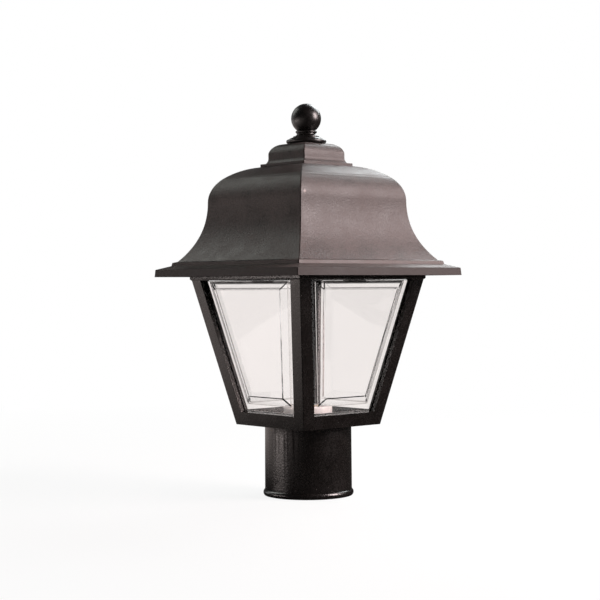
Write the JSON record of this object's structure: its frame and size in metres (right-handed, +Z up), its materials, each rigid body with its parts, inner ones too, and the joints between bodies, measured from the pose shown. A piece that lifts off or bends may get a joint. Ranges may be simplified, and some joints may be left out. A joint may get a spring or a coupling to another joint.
{
  "type": "victorian post-top street lantern",
  "caption": "Square tapered lantern head with clear bevelled panes, a bell-shaped roof with a ball finial that lifts off, and a round collar that slips over a post.",
  "frame": {"origin": "centre of the collar's open lower end, where the post enters, in the plane that the lantern stands on", "axes": "+Z up along the post; +X and -Y point out of the two panes that the picture shows, +X the right one"},
  "size_m": [0.2112, 0.2112, 0.3779],
  "materials": {
    "black_casting": "satin",
    "black_knob": "gloss",
    "black_screws": "satin",
    "zinc_steel": "satin",
    "brass": "satin",
    "black_rubber": "matte",
    "white_porcelain": "gloss",
    "clear_acrylic": "gloss"
  },
  "bodies": {
    "base": {"fitter_collar": "black_casting", "set_screws": "black_screws", "fitter_screws": "black_screws", "cage": "black_casting", "pane_front": "clear_acrylic", "pane_right": "clear_acrylic", "pane_back": "clear_acrylic", "pane_left": "clear_acrylic", "top_ring": "black_casting", "ring_screws": "zinc_steel", "crossbar": "zinc_steel", "crossbar_screws": "zinc_steel", "threaded_rod": "zinc_steel", "rod_nuts": "zinc_steel", "rod_washers": "zinc_steel", "socket_bracket": "zinc_steel", "bracket_screws": "zinc_steel", "socket_body": "white_porcelain", "socket_shell": "brass", "socket_contact": "brass", "socket_screws": "zinc_steel", "terminal_screws": "brass"},
    "roof": {"hood": "black_casting", "finial_seal": "black_rubber"},
    "knob": {"finial": "black_knob", "finial_insert": "brass"}
  },
  "joints": [
    {"name": "roof_lift", "type": "slide", "parent": "base", "child": "roof", "axis": [0, 0, 1], "range_m": [0, 0.16]},
    {"name": "finial_turn", "type": "hinge", "parent": "roof", "child": "knob", "pos_m": [0, 0, 0.3634], "axis": [0, 0, 1], "continuous": true}
  ]
}
